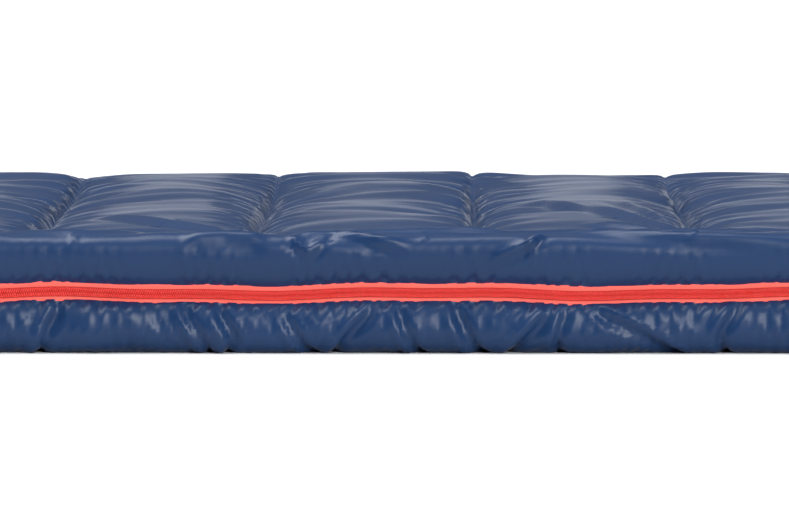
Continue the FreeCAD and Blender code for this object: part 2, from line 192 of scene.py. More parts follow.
def wave_noise(coordinates, wavelengths, seed, waves=24):
    """Smooth noise of about -1 to 1: a sum of sine waves, with one wavelength for each coordinate."""
    rng = np.random.default_rng(seed)
    total = 0.0
    for _ in range(waves):
        phase = rng.uniform(0, 2 * math.pi)
        turn = rng.normal(size=len(coordinates))
        turn /= np.linalg.norm(turn)
        turn *= rng.uniform(0.6, 1.4)
        for value, length, share in zip(coordinates, wavelengths, turn):
            phase = phase + value * (2 * math.pi * share / length)
        total = total + np.sin(phase)
    return total / math.sqrt(waves)


# ---------------------------------------------------------------- the quilt, open and folded

def fold_up(x, s, n):
    """From the open quilt to its place. n is 0 in the middle of the filling and grows outwards."""
    side = np.abs(s)
    angle = np.clip(s / HALF_FOLD, -1, 1) * math.pi / 2
    radius = FOLD_MID + n
    y = FOLD_Y + radius * np.cos(angle) - np.clip(side - HALF_FOLD, 0, None)
    z = MID_Z + radius * np.sin(angle)
    return np.stack([x, y, z], axis=-1)


def spaced_lines(stops, steps):
    """Lines from the first stop to the last, with about one step's spacing in each stretch."""
    lines = [stops[0]]
    for start, end, step in zip(stops, stops[1:], steps):
        count = max(1, round(abs(end - start) / step))
        lines += list(np.linspace(start, end, count + 1)[1:])
    return np.array(lines)


def round_corners(x, s, past):
    """Draws the square corners of the open quilt in to round ones. past is how far the cloth goes past
    its level part."""
    x, s = x.copy(), s.copy()
    for x_side, radius in ((-1, FOOT_R - EDGE_R + past), (1, HEAD_R - EDGE_R + past)):
        for s_side in (-1, 1):
            a = (x * x_side - (END_X + past - radius)) / radius
            b = (s * s_side - (END_S + past - radius)) / radius
            corner = (a > 0) & (b > 0)
            a, b = a[corner], b[corner]
            x[corner] = x_side * (END_X + past - radius + radius * a * np.sqrt(1 - b * b / 2))
            s[corner] = s_side * (END_S + past - radius + radius * b * np.sqrt(1 - a * a / 2))
    return x, s


def grid_normals(points):
    """Normals of a grid of points, outwards where the grid is the quilt's outside."""
    across = np.gradient(points, axis=0)
    along = np.gradient(points, axis=1)
    normal = np.cross(along, across)
    return normal / (np.linalg.norm(normal, axis=-1, keepdims=True) + 1e-9)


class Cloth:
    """One cloth of the quilt as a grid: level in the middle, rolled round the padded edges to the seam."""

    def __init__(self, x_lines, s_lines, outside):
        self.sign = 1 if outside else -1
        self.sew_angle = SEW_ANGLE if outside else math.pi - SEW_ANGLE
        past = EDGE_R * self.sew_angle
        grid_x, grid_s = np.meshgrid(x_lines, s_lines, indexing="ij")
        self.x, self.s = round_corners(grid_x, grid_s, past)
        radius = np.where(self.x < 0, FOOT_R - EDGE_R, HEAD_R - EDGE_R)
        centre_x = np.clip(self.x, radius - END_X, END_X - radius)
        centre_s = np.clip(self.s, radius - END_S, END_S - radius)
        out_x, out_s = self.x - centre_x, self.s - centre_s
        length = np.maximum(np.hypot(out_x, out_s), 1e-9)
        self.rolled = np.clip(length - radius, 0, None)       # along the cloth, past its level part
        in_corner = (np.abs(centre_x) > END_X - radius - 1e-6) & (np.abs(centre_s) > END_S - radius - 1e-6)
        to_edges = np.minimum(END_X - np.abs(self.x), END_S - np.abs(self.s))
        self.inset = EDGE_R + np.where(in_corner, radius - length, to_edges)   # in from the padded edge
        angle = self.rolled / EDGE_R
        reach = np.where(self.rolled > 0, radius + EDGE_R * np.sin(angle), length)
        flat_x = centre_x + out_x / length * reach
        flat_s = centre_s + out_s / length * reach
        level = EDGE_R * np.cos(angle) + (HALF_LOFT - EDGE_R) * np.tanh(4 * np.cos(angle))
        self.base = fold_up(flat_x, flat_s, self.sign * level)
        self.normal = self.sign * grid_normals(self.base)

    def faces(self, rows=None):
        """Faces of the grid, or of its first so many rows, with their outsides out."""
        shape = (self.x.shape[0], rows or self.x.shape[1])
        index = np.arange(shape[0] * shape[1]).reshape(shape)
        corners = [index[:-1, :-1], index[1:, :-1], index[1:, 1:], index[:-1, 1:]]
        return np.stack(corners[::-1] if self.sign > 0 else corners, -1).reshape(-1, 4)


def away_from_sliders(x):
    """1 along the middle of the side, and 0 where a slider rests."""
    return smooth((CALM_HEAD_X - x) / CALM_EASE) * smooth((x - CALM_FOOT_X) / CALM_EASE)


def zip_wave(t):
    """The sewn zip is a little wavy, and sags. It lies straight where a slider rests."""
    x = TAPE_END_X - t
    wave = np.sin(2 * math.pi * x / 236 + 0.5) + 0.5 * np.sin(2 * math.pi * x / 97 + 1.9)
    sag = 1.2
    return away_from_sliders(x) * (wave - sag)


def seam_distance(x):
    return np.min(np.abs(x[..., None] - np.array(SEAMS)), axis=-1)


def x_lines(step, past):
    return spaced_lines([-END_X - past, -END_X] + SEAMS + [END_X, END_X + past], [step] * (CHANNELS + 3))


def refine(grid):
    """Puts a new line between each two lines of a grid, on the smooth curve through its neighbours."""
    between = (grid[:-1] + grid[1:]) / 2
    between[1:-1] = (9 * (grid[1:-2] + grid[2:-1]) - grid[:-3] - grid[3:]) / 16
    finer = np.empty((2 * len(grid) - 1,) + grid.shape[1:], grid.dtype)
    finer[::2], finer[1::2] = grid, between
    return finer


def halfway_lines(lines):
    finer = np.empty(2 * len(lines) - 1)
    finer[::2], finer[1::2] = lines, (lines[:-1] + lines[1:]) / 2
    return finer


FOLD_FULLNESS = 1.5                       # how much higher the folds below stand than their heights say
# Long folds of the upper layer behind the zip, where the cloth has settled in front of the cells:
# points as x and as distance along the cloth from the zip seam, then width and height.
SETTLED_FOLDS = [
    ([(-66, 44), (-20, 46), (40, 43), (88, 45)], 5.0, 2.2),
    ([(-46, 35), (-20, 37), (12, 28), (27, 26)], 3.5, 2.4),
    ([(-116, 30), (-90, 33), (-64, 31)], 4.5, 1.8),
    ([(-48, 31), (-36, 20)], 2.2, 1.6),
    ([(-36, 20), (-27, 28)], 2.2, 1.4),
    ([(84, 17), (112, 27)], 2.2, 1.6),
    ([(104, 25), (118, 31)], 2.0, 1.8),
    ([(111, 31), (110, 19)], 1.8, 1.5),
    ([(48, 45), (133, 43), (216, 31), (273, 29)], 4.0, 2.0),
    ([(120, 60), (170, 66), (216, 60), (270, 52)], 5.0, 2.0),
    ([(-240, 45), (-190, 40), (-140, 47)], 5.0, 2.0),
    ([(114, 320), (178, 165), (216, 95)], 7.0, 2.2),
    ([(174, 310), (196, 190), (210, 120)], 6.0, 1.8),
    ([(150, 120), (214, 84), (262, 80)], 6.0, 2.0),
    ([(-180, 180), (-130, 130), (-84, 100)], 8.0, 1.6),
]
# The same on the lower layer, distances down from the zip seam.
LOWER_FOLDS = [
    ([(150, 8), (180, 22), (212, 40)], 3.5, 2.0),
    ([(-215, 50), (-205, 20), (-196, 4)], 3.5, 1.8),
    ([(-93, 50), (-84, 24), (-96, 6)], 3.5, 1.8),
    ([(-93, 50), (-104, 26), (-118, 6)], 3.0, 1.6),
    ([(-24, 48), (-12, 26), (8, 8)], 3.5, 1.8),
    ([(-24, 48), (-40, 28), (-52, 10)], 3.0, 1.6),
    ([(44, 48), (30, 24), (22, 6)], 3.0, 1.8),
    ([(86, 50), (70, 26), (60, 6)], 4.0, 2.2),
    ([(86, 50), (104, 28), (124, 10)], 4.0, 2.2),
    ([(133, 50), (126, 30), (132, 8)], 3.0, 1.8),
    ([(240, 50), (232, 24), (246, 4)], 3.5, 1.8),
]


def fold_ridges(x, along, folds):
    """Height of long folds: a round crest with a hollow beside it, fading at both ends."""
    height = np.zeros(np.shape(x))
    for points, width, high in folds:
        points = np.array(points, float)
        run = reach_along(points)
        for number, (start, end) in enumerate(zip(points, points[1:])):
            step = end - start
            length = np.hypot(*step)
            along_step = ((x - start[0]) * step[0] + (along - start[1]) * step[1]) / length
            aside = ((x - start[0]) * step[1] - (along - start[1]) * step[0]) / length
            first = -3 * width if number == 0 else 0
            last = length + (3 * width if number == len(points) - 2 else 0)
            inside = (along_step >= first) & (along_step < last)
            share = (run[number] + along_step) / run[-1]
            fade = smooth(share * 4 + 0.3) * smooth((1 - share) * 4 + 0.3)
            offset = aside / width
            profile = np.exp(-offset**2) - 0.45 * np.exp(-((offset - 1.7) / 1.0) ** 2)
            height = np.where(inside, height + FOLD_FULLNESS * high * fade * profile, height)
    return height


def seam_valley(x):
    """How deep in a seam's valley, 1 on the seam. Its foot side falls steeply, and its head side softly."""
    gap = x[..., None] - np.array(SEAMS)
    nearest = np.take_along_axis(gap, np.abs(gap).argmin(-1)[..., None], -1)[..., 0]
    width = np.where(nearest > 0, 8.0, 4.0)
    return 0.8 * np.exp(-(np.abs(nearest) / width) ** 0.9) + 0.2 * np.exp(-(nearest / 26) ** 2)


def along_from_zip(cloth):
    """Distance along the cloth from its sewn edge."""
    return EDGE_R * cloth.sew_angle - cloth.rolled + np.clip(cloth.inset - EDGE_R, 0, None)


def keep_clear(cloth, points):
    """The cloth lies flat under the closing tab, and stays low enough on top."""
    low, high = box_mm("closing_tab")
    under = smooth((cloth.x - low.x + 22) / 16) * smooth((high.x + 22 - cloth.x) / 16)
    under *= smooth((75 - along_from_zip(cloth)) / 20)
    points = points + (cloth.base - points) * under[..., None]
    points[..., 2] -= 0.6 * np.clip(points[..., 2] - (HEIGHT + 7), 0, None)
    return points


def follow_zip(cloth, raised):
    """The cloth's points, raised off its level. Its sewn edge follows the wave of the zip, and the outer
    cloth bulges over the tape."""
    points = cloth.base + raised[..., None] * cloth.normal
    near = np.exp(-along_from_zip(cloth) / 12)
    upper_over_tape, lower_over_tape = -1.0, 1.8
    over_tape = np.where(cloth.s > 0, upper_over_tape, lower_over_tape) * away_from_sliders(cloth.x)
    over_tape *= cloth.sign > 0
    points[..., 2] += (zip_wave(TAPE_END_X - cloth.x) + over_tape) * near
    return points


def on_upper_layer(cloth):
    """1 on the upper layer and 0 on the lower one, turning over in the middle of the fold."""
    return smooth(cloth.s / 40 + 0.5)


def outer_shape(cloth):
    """How far the outer cloth stands off its level: down at the seams, and full between them."""
    upper = on_upper_layer(cloth)
    x, s, rolled = cloth.x, cloth.s, cloth.rolled
    from_zip = along_from_zip(cloth)
    level = np.clip(1 - rolled / 12, 0, 1)
    wall = smooth((rolled - 4) / 10) * smooth(from_zip / 14)
    sewn = smooth((cloth.inset - BORDER + 4) / 12)

    # the sewn seams, shallow towards the fold
    valley = seam_valley(x)
    at_cut = np.exp(-((np.abs(s) - HALF_FOLD) / 110) ** 2)
    raised = -(6.0 + 10.0 * upper) * valley * sewn * (1 - 0.88 * at_cut)

    # the upper layer rises towards its middle, with a hollow where the border meets the cells
    rise = smooth((cloth.inset - BORDER) / 120)
    hollow = np.exp(-((cloth.inset - BORDER - 2) / 11) ** 2)
    raised += upper * level * (-4.0 + 4.5 * rise - 6.0 * hollow)

    # the padded edges are fullest next to the level parts
    raised += 0.8 * smooth(rolled / 10) * smooth(from_zip / 10)
    raised += 2.4 * np.exp(-((rolled - 18) / 10) ** 2)

    # unevenness of the filling
    raised += 1.6 * upper * rise * wave_noise((x, s), (170, 260), 3)
    raised += 1.0 * upper * level * wave_noise((x, s), (240, 60), 4)

    # puckers fanning out from the seams, more at some than at others
    puckers = wave_noise((x, s), (170, 42), 5) * smooth(0.5 + 0.6 * wave_noise((x,), (210,), 26))
    raised += (1.2 + 2.0 * upper) * puckers * np.exp(-seam_distance(x) / 30) * sewn * (1 - valley)

    # slanting creases on the padded edges, mostly the lower one, and waves along the upper one's crest
    creases = wave_noise((x + 0.5 * rolled, rolled), (44, 60), 7)
    creases += wave_noise((x - 0.5 * rolled, rolled), (62, 80), 8)
    raised += wall * (0.8 - 0.65 * upper) * creases
    raised += 0.7 * upper * np.exp(-((cloth.inset - 22) / 24) ** 2) * wave_noise((x, s), (150, 26), 9)
    raised += np.where(s > HALF_FOLD, fold_ridges(x, from_zip, SETTLED_FOLDS), 0)
    raised -= np.where(s < -HALF_FOLD, fold_ridges(x, from_zip, LOWER_FOLDS), 0)
    return raised


def sewn_points(cloth):
    sewn = (seam_distance(cloth.x) < 0.5) & (cloth.inset > BORDER)
    sewn[[0, -1], :] = True
    sewn[:, [0, -1]] = True
    return sewn


def draw_together(points, free, first, second, rest, stiffness):
    """Moves pairs of points towards their own distance on the cloth."""
    gap = points[second] - points[first]
    length = np.sqrt((gap * gap).sum(-1)) + 1e-6
    both = free[first] + free[second] + 1e-6
    move = gap * (stiffness * (length - rest) / (length * both))[..., None]
    points[first] += move * free[first][..., None]
    points[second] -= move * free[second][..., None]


STRETCH, BEND, SHEAR = 1.0, 0.12, 0.05    # stiffness of the links between points, 1 for rigid
KEPT_SPEED = 0.85


def pairs(offset_x, offset_s, start, step):
    """Slices of the grid for the pairs of points that lie some lines apart."""
    every = slice(None)
    if offset_s == 0:
        return (slice(start, -offset_x, step), every), (slice(start + offset_x, None, step), every)
    return (every, slice(start, -offset_s, step)), (every, slice(start + offset_s, None, step))


def settle(cloth, start, sewn, longer_x, longer_s, creases, hold, rounds):
    """The second cloth simulation, on the fine grid. The cloth is longer than the shape it is sewn to,
    the filling holds it back, and it buckles into gathers and puckers."""
    start = start.astype(np.float32)
    points = (start + creases[..., None] * cloth.normal).astype(np.float32)
    points[sewn] = start[sewn]
    free = np.where(sewn, 0.0, 1.0).astype(np.float32)
    longer = (longer_x.astype(np.float32), longer_s.astype(np.float32))
    links = []
    for lines, batches, stiffness in ((1, 2, STRETCH), (2, 4, BEND)):
        for axis, (dx, ds) in enumerate(((lines, 0), (0, lines))):
            for begin in range(batches):
                first, second = pairs(dx, ds, begin, batches)
                rest = np.linalg.norm(start[second] - start[first], axis=-1)
                links.append((first, second, rest * longer[axis][first], stiffness))
    inner, outer = slice(None, -1), slice(1, None)
    for first, second in (((inner, inner), (outer, outer)), ((inner, outer), (outer, inner))):
        rest = np.linalg.norm(start[second] - start[first], axis=-1)
        links.append((first, second, rest * longer[0][first], SHEAR))
    before = points.copy()
    for _ in range(rounds):
        speed = KEPT_SPEED * (points - before)
        before = points.copy()
        points += (speed + hold * (start - points)) * free[..., None]
        for link in links:
            draw_together(points, free, *link)
        points[..., 2] = np.maximum(points[..., 2], 0.0)
    return points


SPARE_ALONG, SPARE_ACROSS = 0.012, 0.03   # the cloth's spare length along the bag and across it


def blow_out(cloth, start, sewn, hold, reach, frames):
    """The first cloth simulation, Blender's, on the coarse grid: air blows the cloth out between its seams,
    and its spare length folds. hold is how firmly the filling holds a point, and reach how far it may go."""
    obj = new_mesh("cloth_trial", start.reshape(-1, 3), cloth.faces())
    obj.shape_key_add(name="sewn")
    spare = obj.shape_key_add(name="spare_length")
    flat = start * np.array([1.0 + SPARE_ALONG, 1.0 + SPARE_ACROSS, 1.0 + SPARE_ACROSS])
    spare.data.foreach_set("co", (flat * MM).ravel())
    group = obj.vertex_groups.new(name="held")
    weight = np.round(np.where(sewn, 1.0, hold), 2).ravel()
    for level in np.unique(weight):
        group.add(np.flatnonzero(weight == level).tolist(), float(level), "REPLACE")
    modifier = obj.modifiers.new("cloth", "CLOTH")
    settings = modifier.settings
    settings.vertex_group_mass = "held"
    settings.rest_shape_key = spare
    settings.quality = 4
    settings.mass = 0.15
    settings.tension_stiffness = settings.compression_stiffness = 15
    settings.tension_damping = settings.compression_damping = 5
    settings.shear_stiffness = 4
    settings.bending_stiffness = 0.02
    settings.air_damping = 3
    settings.use_pressure = True
    settings.uniform_pressure_force = 1.0
    settings.effector_weights.gravity = 0
    modifier.collision_settings.use_collision = False
    scene = bpy.context.scene
    for number in range(1, frames + 1):
        scene.frame_set(number)
    shaped = obj.evaluated_get(bpy.context.evaluated_depsgraph_get()).to_mesh()
    points = np.empty(len(shaped.vertices) * 3)
    shaped.vertices.foreach_get("co", points)
    scene.frame_set(1)
    bpy.data.objects.remove(obj)
    move = points.reshape(start.shape) / MM - start
    length = np.linalg.norm(move, axis=-1, keepdims=True) + 1e-6
    return move / length * reach[..., None] * np.tanh(length / reach[..., None])


def eased(move, keep):
    """Takes the finest ripples out of the level parts, where the filling holds the cloth up evenly."""
    soft = move.copy()
    for _ in range(5):
        soft[:, 1:-1] = (soft[:, :-2] + 2 * soft[:, 1:-1] + soft[:, 2:]) / 4
        soft[1:-1] = (soft[:-2] + 4 * soft[1:-1] + soft[2:]) / 6
    return soft + (move - soft) * keep[..., None]


def wrinkle(cloth, shape):
    """The small folds: gathers along the zip, puckers along the seams and creases on the padded edges."""
    past = EDGE_R * cloth.sew_angle
    upper = on_upper_layer(cloth)
    on_wall = smooth((cloth.rolled - 4) / 8)
    gather = np.exp(-(past - cloth.rolled) / 8) * on_wall
    near_seam = np.exp(-seam_distance(cloth.x) / 22) * smooth((cloth.inset - 30) / 30)
    patchy = smooth(0.5 + 0.6 * wave_noise((cloth.x,), (70,), 24))
    longer_x = 1.0 + 0.15 * gather * patchy + on_wall * (0.035 - 0.03 * upper)
    longer_s = 1.0 + (0.004 + 0.045 * near_seam) * (1 - on_wall)
    seeds = gather * (0.6 * patchy + 0.1) * wave_noise((cloth.x, cloth.rolled), (10, 60), 21)
    seeds += 0.5 * gather * wave_noise((cloth.x, cloth.rolled), (24, 60), 25)
    seeds += 0.6 * near_seam * wave_noise((cloth.x, cloth.s), (90, 20), 22)
    seeds += 0.12 * wave_noise((cloth.x, cloth.s), (38, 24), 23)
    return settle(cloth, shape, sewn_points(cloth), longer_x, longer_s, seeds, hold=0.02, rounds=36)


def filling_hold(cloth):
    """How firmly the filling holds the outer cloth: least on top, most under the bag and by the zip. Then how
    far the cloth may move, and where the padded edges are."""
    from_zip = np.clip(EDGE_R * cloth.sew_angle - cloth.rolled, 0, None)
    on_wall = smooth((cloth.rolled - 4) / 8)
    upper = on_upper_layer(cloth)
    on_level = 0.10 * upper + 0.5 * (1 - upper)
    hold = on_level * (1 - on_wall) + on_wall * (0.06 + 0.3 * upper + 0.3 * np.exp(-from_zip / 6))
    reach = 9.0 - 5.5 * on_wall * np.exp(-from_zip / 14)
    return hold, reach, on_wall


def make_outer_cloth():
    """The outer cloth's grid and its shape."""
    past = EDGE_R * SEW_ANGLE
    lines_x = x_lines(6.0, past)
    stops = [-END_S - past, -END_S + 10, -END_S + 60, -HALF_FOLD, HALF_FOLD]
    stops += [END_S - 240, END_S - 100, END_S + past]
    lines_s = spaced_lines(stops, [5.0, 10.0, 30.0, 12.0, 12.0, 8.0, 5.5])
    coarse = Cloth(lines_x, lines_s, outside=True)
    outer = Cloth(halfway_lines(lines_x), halfway_lines(lines_s), outside=True)
    start, shape = follow_zip(coarse, outer_shape(coarse)), follow_zip(outer, outer_shape(outer))
    hold, reach, on_wall = filling_hold(coarse)
    move = eased(blow_out(coarse, start, sewn_points(coarse), hold, reach, frames=18), on_wall)
    finer = refine(np.swapaxes(refine(move), 0, 1))
    shape = wrinkle(outer, shape + np.swapaxes(finer, 0, 1))
    return outer, keep_clear(outer, shape)


def join_body(piece, layer):
    """Lower pieces ride on the base and upper ones on the cover. Those of the fold stay where they are made,
    on neither body.
    """
    if layer == "fold":
        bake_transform(piece)
    else:
        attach(piece, "base" if layer == "lower" else "cover")


def layer_rows(cloth):
    """The grid's rows of each layer, from the lower one's sewn edge to the upper one's."""
    first = int(np.argmin(np.abs(cloth.s[0] + HALF_FOLD)))
    last = int(np.argmin(np.abs(cloth.s[0] - HALF_FOLD)))
    return {"lower": (0, first), "fold": (first, last), "upper": (last, cloth.s.shape[1] - 1)}


def cut_layers(cloth, shape, name, material, replaced):
    """Cuts one cloth at the fold into the pieces that move apart, its shading whole across the cuts."""
    normals = cloth.sign * grid_normals(shape)
    for layer, (first, last) in layer_rows(cloth).items():
        part = slice(first, last + 1)
        points = shape[:, part]
        faces = cloth.faces(rows=points.shape[1])
        piece = new_mesh(f"{layer}_{name}_cloth", points.reshape(-1, 3), faces)
        place = np.stack([cloth.x[:, part], cloth.s[:, part]], -1).reshape(-1, 2)
        add_uv(piece, place[faces.ravel()])
        piece.data.normals_split_custom_set_from_vertices(normals[:, part].reshape(-1, 3))
        piece.data.materials.append(material)
        join_body(piece, layer)
        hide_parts(*(f"{layer}_{node}" for node in replaced))


# ---------------------------------------------------------------- stitches

def stitch_row(points, normals, length, gap, thick):
    """Short straight stitches along a line on the cloth: corners and faces of small spindles."""
    reach = reach_along(points)
    starts = np.arange(gap, reach[-1] - length, length + gap)

    def on_line(values, more):
        return np.stack([np.interp(starts + more, reach, values[:, k]) for k in range(3)], -1)

    begin, end = on_line(points, 0), on_line(points, length)
    up = unit(on_line(normals, length / 2))
    side = np.cross((end - begin) / length, up)
    corners = ((1, 0), (0, 1), (-1, 0), (0, -1))
    rings = []
    for share, size in ((0.0, 0.35), (0.3, 1.0), (0.7, 1.0), (1.0, 0.35)):
        middle = begin + (end - begin) * share + up * thick * (0.5 * size - 0.15)
        rings.append(np.stack([middle + thick / 2 * size * (a * side + b * up) for a, b in corners], 1))
    index, walls = tube_faces(len(rings), len(corners))
    faces = np.concatenate([walls, index[:1], index[-1:, ::-1]])
    shift = index.size * np.arange(len(starts))[:, None, None]
    return np.stack(rings, 1).reshape(-1, 3), (faces[None] + shift).reshape(-1, 4)


def join_rows(name, rows, material):
    points, faces, total = [], [], 0
    for row_points, row_faces in rows:
        points.append(row_points)
        faces.append(row_faces + total)
        total += len(row_points)
    piece = new_mesh(name, np.concatenate(points), np.concatenate(faces))
    piece.data.materials.append(material)
    return piece


def quilting_stitches(cloth, shape, name, material):
    """The thread of the sewn seams across the quilt, on one face of it."""
    normals = cloth.sign * grid_normals(shape)
    columns = [int(np.argmin(np.abs(cloth.x[:, cloth.x.shape[1] // 2] - seam))) for seam in SEAMS]
    for layer, (first, last) in layer_rows(cloth).items():
        rows = []
        for column in columns:
            sewn = cloth.inset[column, first:last + 1] > BORDER
            line = shape[column, first:last + 1][sewn]
            rows.append(stitch_row(line, normals[column, first:last + 1][sewn], 2.6, 0.9, 0.7))
        join_body(join_rows(f"{layer}_{name}_quilting_thread", rows, material), layer)


# ---------------------------------------------------------------- zip

def zip_line(t):
    """Place and outward direction of the zip's centre line, at distances from its head end."""
    radius = FOOT_R - TAPE_INSET
    side = np.clip(t, None, SIDE_RUN)
    turn = np.clip(t - SIDE_RUN, 0, CORNER_RUN) / radius
    foot = np.clip(t - SIDE_RUN - CORNER_RUN, 0, None)
    x = TAPE_END_X - side - radius * np.sin(turn)
    y = SIDE_Y + TAPE_INSET + radius * (1 - np.cos(turn)) + foot
    return np.stack([x, y], -1), np.stack([-np.sin(turn), -np.cos(turn)], -1)


def parting(t):
    """How far a half stands aside beyond the sliders."""
    from_head = HEAD_SLIDER_X - (TAPE_END_X - t)
    from_foot = FOOT_SLIDER_Y - (t - SIDE_RUN - CORNER_RUN + SIDE_Y + FOOT_R)
    before = np.minimum(from_head, from_foot)
    return PARTED * np.clip((-before - PART_START) / (PART_END - PART_START), 0, 1)


def on_zip(t, inset, height):
    """Points in space from distances along the zip, behind the padded edge, and above the centre line."""
    place, out = zip_line(t)
    flat = place + out * (TAPE_INSET - inset)[..., None]
    return np.stack([flat[..., 0], flat[..., 1], MID_Z + zip_wave(t) + height], -1)


def zip_tape(name, up):
    """One half of the woven tape, its far edge sewn in between shell and lining."""
    t = np.arange(0, SIDE_RUN + CORNER_RUN + FOOT_RUN + 0.1, 3.0)
    rows = np.array([MESH_GAP, 2.2, 3.1, 3.4, 4.4, 5.6, 6.4, 7.2, TAPE_WIDE])
    front = np.full(len(rows), TAPE_INSET - TAPE_THICK / 2)
    front[3] += 0.12                          # a groove beside the coil
    back = np.full(len(rows), TAPE_INSET + TAPE_THICK / 2)
    section_rows = np.concatenate([rows, rows[::-1]])
    grid_t = np.repeat(t[:, None], len(section_rows), 1)
    coil_edge = 5.0                           # rows nearer than this step aside with the coil
    height = section_rows + parting(grid_t) * (section_rows < coil_edge)
    calm = smooth((CALM_HEAD_X - (TAPE_END_X - grid_t)) / CALM_EASE)
    ripple = 0.3 * calm * wave_noise((grid_t, section_rows + 0 * grid_t), (26, 30), 31)
    visible = 6.2 if up > 0 else 5.4          # width in front of the cloth
    sunk = 2.5 * smooth((section_rows - visible) / 4)
    inset = np.concatenate([front, back[::-1]]) + ripple * smooth((section_rows - 3) / 3) + sunk
    across = np.linspace(0, 2 * TAPE_WIDE, len(section_rows))
    return sweep(name, on_zip(grid_t, inset, up * height), t, across)


COIL_START = TAPE_END_X - (HEAD_SLIDER_X + COIL_PAST)      # along the zip, both
COIL_END = SIDE_RUN + CORNER_RUN + FOOT_SLIDER_Y + COIL_PAST - (SIDE_Y + FOOT_R)


def zip_coil(name, up):
    """One half of the chain: monofilament wound into a flat coil. Its turns sit between the other half's."""
    wire = 0.29                               # radius
    reach = 0.45                              # how far the turns reach in between the other half's
    steps, sides = 10, 5                      # points along each turn, and round the wire
    turns = int((COIL_END - COIL_START) / COIL_PITCH)
    number = np.arange(turns * steps)
    shift = 0.49 * COIL_PITCH if up > 0 else 0.0
    t = COIL_START + shift + (COIL_END - COIL_START - COIL_PITCH) * number / (turns * steps)
    phase = 2 * math.pi * number / steps
    across, depth = np.cos(phase), np.sin(phase)
    across = np.sign(across) * np.abs(across) ** 0.7
    depth = np.sign(depth) * np.abs(depth) ** 0.8
    half_wide = (COIL_WIDE + reach) / 2 - wire
    half_thick = COIL_THICK / 2 - wire
    height = MESH_GAP + (COIL_WIDE - reach) / 2 + parting(t) + half_wide * across
    inset = TAPE_INSET - TAPE_THICK / 2 - COIL_THICK / 2 - half_thick * depth
    middle = on_zip(t, inset, up * height)
    run = unit(np.gradient(middle, axis=0))
    _, out = zip_line(t)
    side = unit(np.cross(run, np.stack([out[:, 1], -out[:, 0], 0 * t], -1)))
    other = np.cross(run, side)
    angle = 2 * math.pi * np.arange(sides) / sides
    ring = np.cos(angle)[:, None] * side[:, None] + np.sin(angle)[:, None] * other[:, None]
    return sweep(name, middle[:, None] + wire * ring, t, angle)


def zip_thread(name, up, material, height, thick, from_tape):
    """A row of the thread that sews the coil to its tape, one stitch a turn."""
    t = np.arange(COIL_START + 1, COIL_END - 1, 2.4)
    inset = np.full(len(t), TAPE_INSET - TAPE_THICK / 2 - from_tape)
    line = on_zip(t, inset, up * (height + parting(t)))
    _, out = zip_line(t)
    normals = np.stack([out[:, 0], out[:, 1], 0 * t], -1)
    row = stitch_row(line, normals, 1.1, 0.5, thick)
    return join_rows(name, [row], material)


# ---------------------------------------------------------------- materials

def add_node(tree, kind, settings=None, links=None, **attributes):
    """A shader node with its attributes, its socket settings and its links from other nodes' outputs."""
    node = tree.nodes.new("ShaderNode" + kind)
    for key, value in attributes.items():
        setattr(node, key, value)
    for key, value in (settings or {}).items():
        node.inputs[key].default_value = value
    for key, source in (links or {}).items():
        tree.links.new(source, node.inputs[key])
    return node


def start_material(name):
    material = bpy.data.materials.new(name)
    material.use_nodes = True
    material.node_tree.nodes.clear()
    return material, material.node_tree


def placed(tree, place, lengths):
    """Places on the flat cloth or in the object, in units of so many millimetres along each axis."""
    if place == "cloth":
        source = add_node(tree, "UVMap", uv_map="cloth").outputs[0]
    else:
        source = add_node(tree, "TexCoord").outputs["Object"]
    scale = [1 / (length * MM) for length in lengths] + [1.0] * (3 - len(lengths))
    return add_node(tree, "Mapping", {"Scale": scale}, {"Vector": source}).outputs[0]


def pattern(tree, kind, place, lengths, settings=None, **attributes):
    """A texture that repeats about every so many millimetres: how light or high it is, 0 to 1."""
    where = {"Vector": placed(tree, place, lengths)}
    return add_node(tree, kind, {"Scale": 1.0, **(settings or {})}, where, **attributes).outputs["Fac"]


def between(tree, share, first, second):
    """A colour between two, by share."""
    colours = {"A": linear(first), "B": linear(second)}
    return add_node(tree, "Mix", colours, {"Factor": share}, data_type="RGBA").outputs["Result"]


def finish(tree, colour, reliefs, settings):
    """The surface. reliefs are heights, each with its strength and its depth in millimetres."""
    links = {"Base Color": colour}
    for height, strength, depth in reliefs:
        below = {"Normal": links["Normal"]} if "Normal" in links else {}
        relief = {"Strength": strength, "Distance": depth * MM}
        links["Normal"] = add_node(tree, "Bump", relief, {"Height": height, **below}).outputs[0]
    shader = add_node(tree, "BsdfPrincipled", settings, links)
    add_node(tree, "OutputMaterial", links={"Surface": shader.outputs[0]})


def calendered_taffeta(name, colour, worn):
    """Polyester taffeta, pressed between hot rollers: a plain weave so tight that it shines like satin,
    with fine drag creases from the filling behind it. The threads are drawn 0.8 mm apart, so that they show.
    """
    material, tree = start_material(name)
    weave = pattern(tree, "TexChecker", "cloth", (0.8, 0.8))
    drag = pattern(
        tree, "TexNoise", "cloth", (44, 30), {"Detail": 3.0, "Roughness": 0.45, "Distortion": 0.6})
    patches = pattern(tree, "TexNoise", "cloth", (120, 70), {"Detail": 2.0})
    finish(
        tree, between(tree, patches, colour, worn), [(drag, 0.5, 1.0), (weave, 0.25, 0.02)],
        {"Roughness": 0.36, "Specular IOR Level": 0.3, "Sheen Weight": 0.03, "Sheen Roughness": 0.3})
    return material


